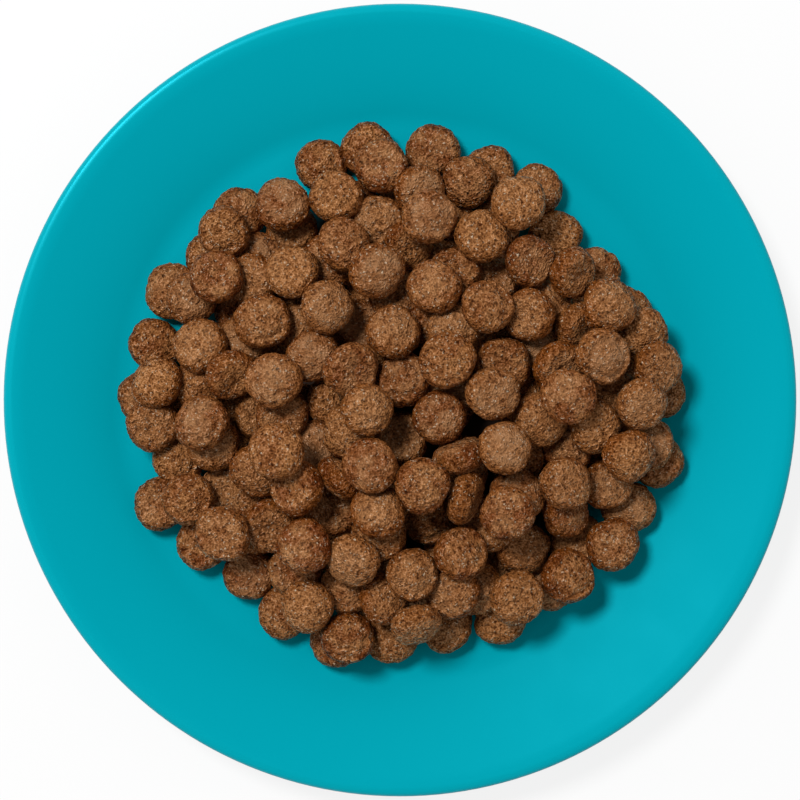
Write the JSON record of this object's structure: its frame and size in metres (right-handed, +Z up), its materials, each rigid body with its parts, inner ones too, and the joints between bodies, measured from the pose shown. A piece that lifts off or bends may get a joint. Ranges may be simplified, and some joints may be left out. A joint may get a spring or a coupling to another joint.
{
  "type": "plate of dry pet food",
  "caption": "Shallow round glazed plate with a low foot and a rolled rim, carrying a loose heap of disc-shaped dry pet food.",
  "frame": {"origin": "under the plate's centre, on the surface that its foot stands on", "axes": "+Z up; +X is the picture's right and +Y its top, which it looks down on"},
  "size_m": [0.19, 0.19, 0.0343],
  "materials": {
    "glaze": "glossy turquoise glaze",
    "kibble": "baked, dry and gritty"
  },
  "bodies": {
    "root": {"plate": "glaze", "lower_kibbles": "kibble", "kibble_01": "kibble", "kibble_02": "kibble", "kibble_03": "kibble", "kibble_04": "kibble", "kibble_05": "kibble", "kibble_06": "kibble", "kibble_07": "kibble", "kibble_08": "kibble", "kibble_09": "kibble", "kibble_10": "kibble", "kibble_11": "kibble", "kibble_12": "kibble", "kibble_13": "kibble", "kibble_14": "kibble", "kibble_15": "kibble", "kibble_16": "kibble", "kibble_17": "kibble", "kibble_18": "kibble", "kibble_19": "kibble", "kibble_20": "kibble", "kibble_21": "kibble", "kibble_22": "kibble", "kibble_23": "kibble", "kibble_24": "kibble", "kibble_25": "kibble", "kibble_26": "kibble", "kibble_27": "kibble", "kibble_28": "kibble", "kibble_29": "kibble", "kibble_30": "kibble", "kibble_31": "kibble", "kibble_32": "kibble", "kibble_33": "kibble", "kibble_34": "kibble", "kibble_35": "kibble", "kibble_36": "kibble", "kibble_37": "kibble", "kibble_38": "kibble", "kibble_39": "kibble", "kibble_40": "kibble", "kibble_41": "kibble", "kibble_42": "kibble", "kibble_43": "kibble", "kibble_44": "kibble", "kibble_45": "kibble", "kibble_46": "kibble", "kibble_47": "kibble", "kibble_48": "kibble", "kibble_49": "kibble", "kibble_50": "kibble", "kibble_51": "kibble", "kibble_52": "kibble", "kibble_53": "kibble", "kibble_54": "kibble", "kibble_55": "kibble", "kibble_56": "kibble", "kibble_57": "kibble", "kibble_58": "kibble"}
  },
  "joints": []
}
